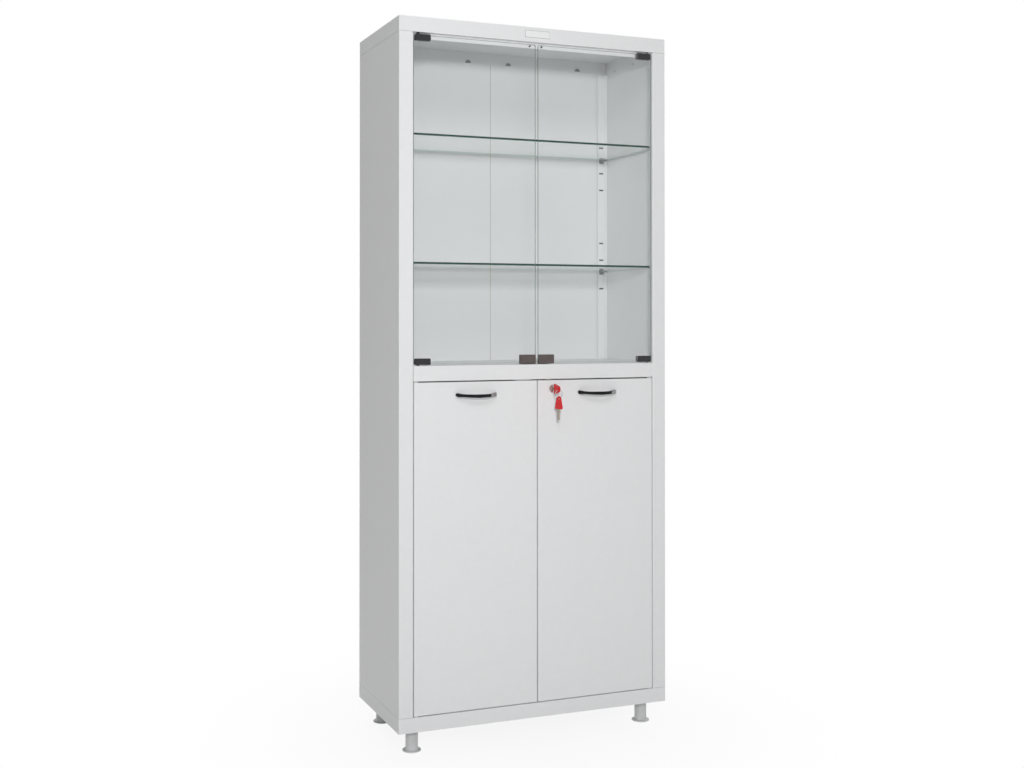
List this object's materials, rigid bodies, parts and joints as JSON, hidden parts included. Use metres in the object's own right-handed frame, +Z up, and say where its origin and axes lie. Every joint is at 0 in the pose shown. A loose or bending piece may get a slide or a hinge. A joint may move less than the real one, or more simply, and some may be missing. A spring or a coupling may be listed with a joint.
{
  "type": "glass door medical cabinet",
  "caption": "Free-standing white sheet-steel medical cabinet with glass leaves and shelves above, lockable steel leaves below, and round legs.",
  "frame": {"origin": "on the floor, under the middle of the part's bounding box", "axes": "+Z up, the doors face -Y, +X to the right of a person facing the doors"},
  "size_m": [0.7, 0.366, 1.71],
  "materials": {
    "white_coat": "gloss",
    "clear_glass": "gloss",
    "black_metal": "satin",
    "dark_bronze": "satin",
    "chrome": "gloss",
    "zinc": "satin",
    "bright_zinc": "satin",
    "pale_plastic": "satin",
    "red_plastic": "gloss"
  },
  "bodies": {
    "cabinet": {"back_panel_left": "white_coat", "back_panel_right": "white_coat", "bottom_panel": "white_coat", "glass_door_catch": "pale_plastic", "leg_front_left": "pale_plastic", "leg_front_right": "pale_plastic", "leg_rear_left": "pale_plastic", "leg_rear_right": "pale_plastic", "lock_keeper": "zinc", "lower_glass_shelf": "clear_glass", "lower_shelf_clip_front_left": "bright_zinc", "lower_shelf_clip_front_right": "bright_zinc", "lower_shelf_clip_rear_left": "bright_zinc", "lower_shelf_clip_rear_right": "bright_zinc", "middle_panel": "white_coat", "rear_upright_left": "white_coat", "rear_upright_right": "white_coat", "side_panel_left": "white_coat", "side_panel_right": "white_coat", "steel_door_catch": "pale_plastic", "steel_hinge_pin_bottom_left": "bright_zinc", "steel_hinge_pin_bottom_right": "bright_zinc", "steel_hinge_pin_top_left": "bright_zinc", "steel_hinge_pin_top_right": "bright_zinc", "steel_shelf": "white_coat", "steel_shelf_clip_front_left": "bright_zinc", "steel_shelf_clip_front_right": "bright_zinc", "steel_shelf_clip_rear_left": "bright_zinc", "steel_shelf_clip_rear_right": "bright_zinc", "top_door_stop": "white_coat", "top_panel": "white_coat", "upper_glass_shelf": "clear_glass", "upper_shelf_clip_front_left": "bright_zinc", "upper_shelf_clip_front_right": "bright_zinc", "upper_shelf_clip_rear_left": "bright_zinc", "upper_shelf_clip_rear_right": "bright_zinc"},
    "glass_leaf_left": {"glass_pane_left": "clear_glass", "glass_hinge_top_left": "black_metal", "glass_hinge_bottom_left": "black_metal", "strike_clip_left": "dark_bronze"},
    "glass_leaf_right": {"glass_pane_right": "clear_glass", "glass_hinge_top_right": "black_metal", "glass_hinge_bottom_right": "black_metal", "strike_clip_right": "dark_bronze"},
    "steel_leaf_left": {"steel_door_left": "white_coat", "handle_left": "black_metal"},
    "steel_leaf_right": {"steel_door_right": "white_coat", "handle_right": "black_metal", "lock_body": "chrome"},
    "lock_barrel": {"lock_plug": "chrome", "lock_cam": "zinc", "lock_key_blade": "chrome", "lock_key_head": "red_plastic"},
    "ring": {"key_ring": "chrome"},
    "spare_key": {"spare_key_head": "red_plastic", "spare_key_blade": "chrome"}
  },
  "joints": [
    {"name": "glass_door_left_swing", "type": "hinge", "parent": "cabinet", "child": "glass_leaf_left", "pos_m": [-0.3015, -0.131, 0.9043], "axis": [0, 0, -1], "range_deg": [0, 120]},
    {"name": "glass_door_right_swing", "type": "hinge", "parent": "cabinet", "child": "glass_leaf_right", "pos_m": [0.3015, -0.131, 0.9043], "axis": [0, 0, 1], "range_deg": [0, 120]},
    {"name": "steel_door_left_swing", "type": "hinge", "parent": "cabinet", "child": "steel_leaf_left", "pos_m": [-0.307, -0.131, 0.0918], "axis": [0, 0, -1], "range_deg": [0, 100]},
    {"name": "steel_door_right_swing", "type": "hinge", "parent": "cabinet", "child": "steel_leaf_right", "pos_m": [0.307, -0.131, 0.0918], "axis": [0, 0, 1], "range_deg": [0, 100]},
    {"name": "lock_turn", "type": "hinge", "parent": "steel_leaf_right", "child": "lock_barrel", "pos_m": [0.04, -0.137, 0.841], "axis": [0, 1, 0], "range_deg": [0, 90]},
    {"name": "key_ring_swing", "type": "hinge", "parent": "lock_barrel", "child": "ring", "pos_m": [0.04, -0.171, 0.8393], "axis": [-1, 0, 0], "range_deg": [-10, 60]},
    {"name": "spare_key_swing", "type": "hinge", "parent": "ring", "child": "spare_key", "pos_m": [0.04, -0.171, 0.8203], "axis": [-1, 0, 0], "range_deg": [-12, 40]}
  ]
}
